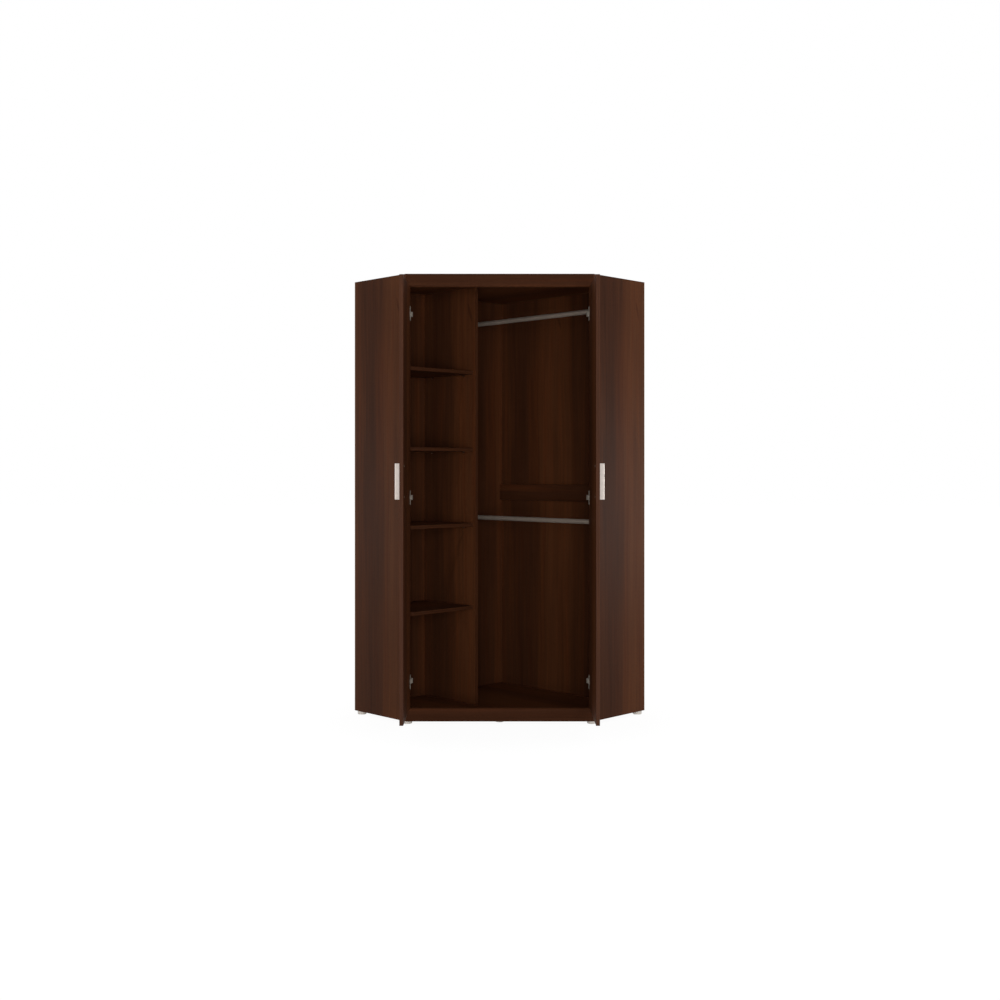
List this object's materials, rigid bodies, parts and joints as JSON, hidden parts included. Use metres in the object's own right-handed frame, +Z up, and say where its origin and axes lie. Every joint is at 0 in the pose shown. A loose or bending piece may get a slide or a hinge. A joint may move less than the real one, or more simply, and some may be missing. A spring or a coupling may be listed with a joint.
{
  "type": "corner wardrobe",
  "caption": "Corner wardrobe with a square back corner and a diagonal front, hinged doors standing open, shelf bays on the left and hanging rails on the right.",
  "frame": {"origin": "on the floor, under the middle of the overall box with the doors open at a right angle to the front", "axes": "+Z up, the diagonal front and the open doors face -Y, +X to the right for a person who stands in front"},
  "size_m": [1.3436, 1.3222, 2],
  "materials": {
    "laminate": "satin wood-grain laminate, dark walnut brown",
    "laminate_inside": "satin wood-grain laminate, dark walnut brown",
    "hardboard": "wood-grain foil face on thin hardboard",
    "satin_metal": "satin anodised",
    "hinge_steel": "nickel plated",
    "tube_steel": "plated tube",
    "grey_plastic": "light grey moulded plastic"
  },
  "bodies": {
    "case": {"back_cross_rail": "laminate_inside", "bottom_panel": "laminate_inside", "bottom_rail": "laminate", "divider": "laminate_inside", "foot_back_corner": "grey_plastic", "foot_front_left": "grey_plastic", "foot_front_middle": "grey_plastic", "foot_front_right": "grey_plastic", "foot_rear_left": "grey_plastic", "foot_rear_right": "grey_plastic", "left_back_panel": "hardboard", "left_hinge_arm_1": "hinge_steel", "left_hinge_arm_2": "hinge_steel", "left_hinge_arm_3": "hinge_steel", "left_side_panel": "laminate", "lower_hanging_rail": "tube_steel", "lower_rail_socket_left": "hinge_steel", "lower_rail_socket_right": "hinge_steel", "rail_support_board": "laminate_inside", "right_back_panel_lower": "hardboard", "right_back_panel_upper": "hardboard", "right_hinge_arm_1": "hinge_steel", "right_hinge_arm_2": "hinge_steel", "right_hinge_arm_3": "hinge_steel", "right_side_panel": "laminate", "shelf_1": "laminate_inside", "shelf_1_pin_divider_back": "hinge_steel", "shelf_1_pin_divider_front": "hinge_steel", "shelf_1_pin_side_back": "hinge_steel", "shelf_1_pin_side_front": "hinge_steel", "shelf_2": "laminate_inside", "shelf_2_pin_divider_back": "hinge_steel", "shelf_2_pin_divider_front": "hinge_steel", "shelf_2_pin_side_back": "hinge_steel", "shelf_2_pin_side_front": "hinge_steel", "shelf_3": "laminate_inside", "shelf_3_pin_divider_back": "hinge_steel", "shelf_3_pin_divider_front": "hinge_steel", "shelf_3_pin_side_back": "hinge_steel", "shelf_3_pin_side_front": "hinge_steel", "shelf_4": "laminate_inside", "shelf_4_pin_divider_back": "hinge_steel", "shelf_4_pin_divider_front": "hinge_steel", "shelf_4_pin_side_back": "hinge_steel", "shelf_4_pin_side_front": "hinge_steel", "top_panel": "laminate_inside", "top_rail": "laminate", "upper_hanging_rail": "tube_steel", "upper_rail_socket_left": "hinge_steel", "upper_rail_socket_right": "hinge_steel"},
    "left_door": {"left_door": "laminate", "left_handle": "satin_metal", "left_hinge_cup_1": "hinge_steel", "left_hinge_cup_2": "hinge_steel", "left_hinge_cup_3": "hinge_steel"},
    "right_door": {"right_door": "laminate", "right_handle": "satin_metal", "right_hinge_cup_1": "hinge_steel", "right_hinge_cup_2": "hinge_steel", "right_hinge_cup_3": "hinge_steel"}
  },
  "joints": [
    {"name": "left_door_hinge", "type": "hinge", "parent": "case", "child": "left_door", "pos_m": [-0.40433, -0.25827, 1.008], "axis": [0, 0, -1], "range_deg": [-90, 20]},
    {"name": "right_door_hinge", "type": "hinge", "parent": "case", "child": "right_door", "pos_m": [0.40433, -0.25827, 1.008], "axis": [0, 0, 1], "range_deg": [-90, 20]}
  ]
}
